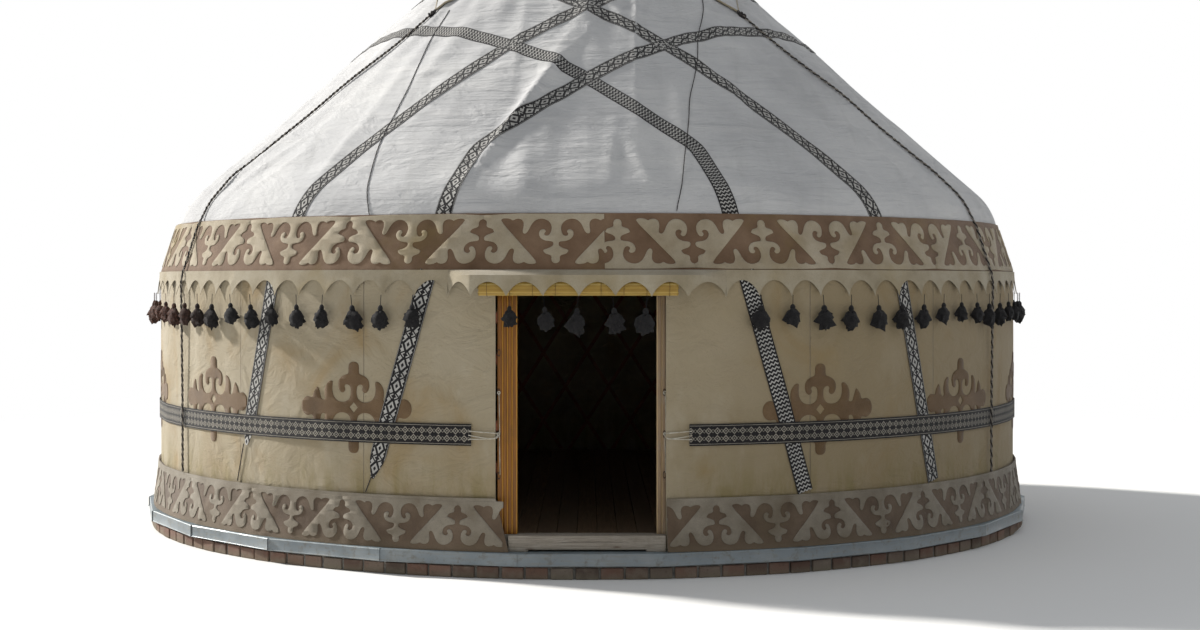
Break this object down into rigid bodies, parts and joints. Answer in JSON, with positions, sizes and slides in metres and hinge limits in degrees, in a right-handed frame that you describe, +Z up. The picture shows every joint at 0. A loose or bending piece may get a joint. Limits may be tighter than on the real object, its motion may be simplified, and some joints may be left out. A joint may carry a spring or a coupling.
{
  "type": "felt yurt on a brick plinth",
  "caption": "round felt tent on a low brick plinth, lattice wall and domed roof, ornamented frieze and skirt, open doorway with a rolled reed mat",
  "frame": {"origin": "on the ground, at the centre of the plinth's underside", "axes": "+Z up, -Y is the direction the doorway faces, +X to the right of someone who looks at the doorway from outside"},
  "size_m": [6.1204, 6.1204, 4.2643],
  "materials": {
    "masonry": "dull red-brown brick headers, dusty mortar joints",
    "sheet_metal": "pale blue-grey sheet steel, weathered",
    "floor_timber": "plain planed boards",
    "frame_pine": "orange varnished pine with grooves",
    "sill_timber": "weathered bare wood",
    "lattice_wood": "red-brown stained willow laths",
    "pole_wood": "red-brown stained willow poles",
    "wall_canvas": "cream felt faced with canvas, rain-stained",
    "roof_canvas": "off-white woven canvas over felt",
    "frieze_felt": "brown and cream felt ornament",
    "skirt_felt": "brown and cream felt ornament, mud-stained",
    "valance_cloth": "thin off-white cloth",
    "tassel_wool": "black wool",
    "woven_band": "woven wool band, cream and black",
    "waist_weave": "black woven girth with cream hooks",
    "rope_hair": "twisted black and white hair rope",
    "reed": "yellow reeds stitched in rows"
  },
  "bodies": {
    "root": {"brick_plinth": "masonry", "metal_edging": "sheet_metal", "floor_boards": "floor_timber", "threshold": "sill_timber", "left_door_post": "frame_pine", "right_door_post": "frame_pine", "door_lintel": "frame_pine", "roof_poles_right": "pole_wood", "roof_poles_left": "pole_wood", "crown_ring": "pole_wood", "crown_slats": "pole_wood", "crown_cover": "roof_canvas", "frieze_right": "frieze_felt", "frieze_left": "frieze_felt", "valance_right": "valance_cloth", "valance_left": "valance_cloth", "door_valance": "valance_cloth", "tassels_right": "tassel_wool", "tassels_left": "tassel_wool", "door_tassels": "tassel_wool", "skirt_right": "skirt_felt", "skirt_left": "skirt_felt", "waist_band": "waist_weave", "roof_straps": "woven_band", "wall_straps": "woven_band", "roof_ropes": "rope_hair", "reed_mat": "reed", "wall_lattice_1": "lattice_wood", "wall_lattice_2": "lattice_wood", "wall_lattice_3": "lattice_wood", "wall_lattice_4": "lattice_wood", "wall_lattice_5": "lattice_wood", "wall_lattice_6": "lattice_wood", "wall_felt_front_right": "wall_canvas", "roof_felt_front_right": "roof_canvas", "wall_felt_right": "wall_canvas", "roof_felt_right": "roof_canvas", "wall_felt_back_right": "wall_canvas", "roof_felt_back_right": "roof_canvas", "wall_felt_back_left": "wall_canvas", "roof_felt_back_left": "roof_canvas", "wall_felt_left": "wall_canvas", "roof_felt_left": "roof_canvas", "wall_felt_front_left": "wall_canvas", "roof_felt_front_left": "roof_canvas"}
  },
  "joints": []
}
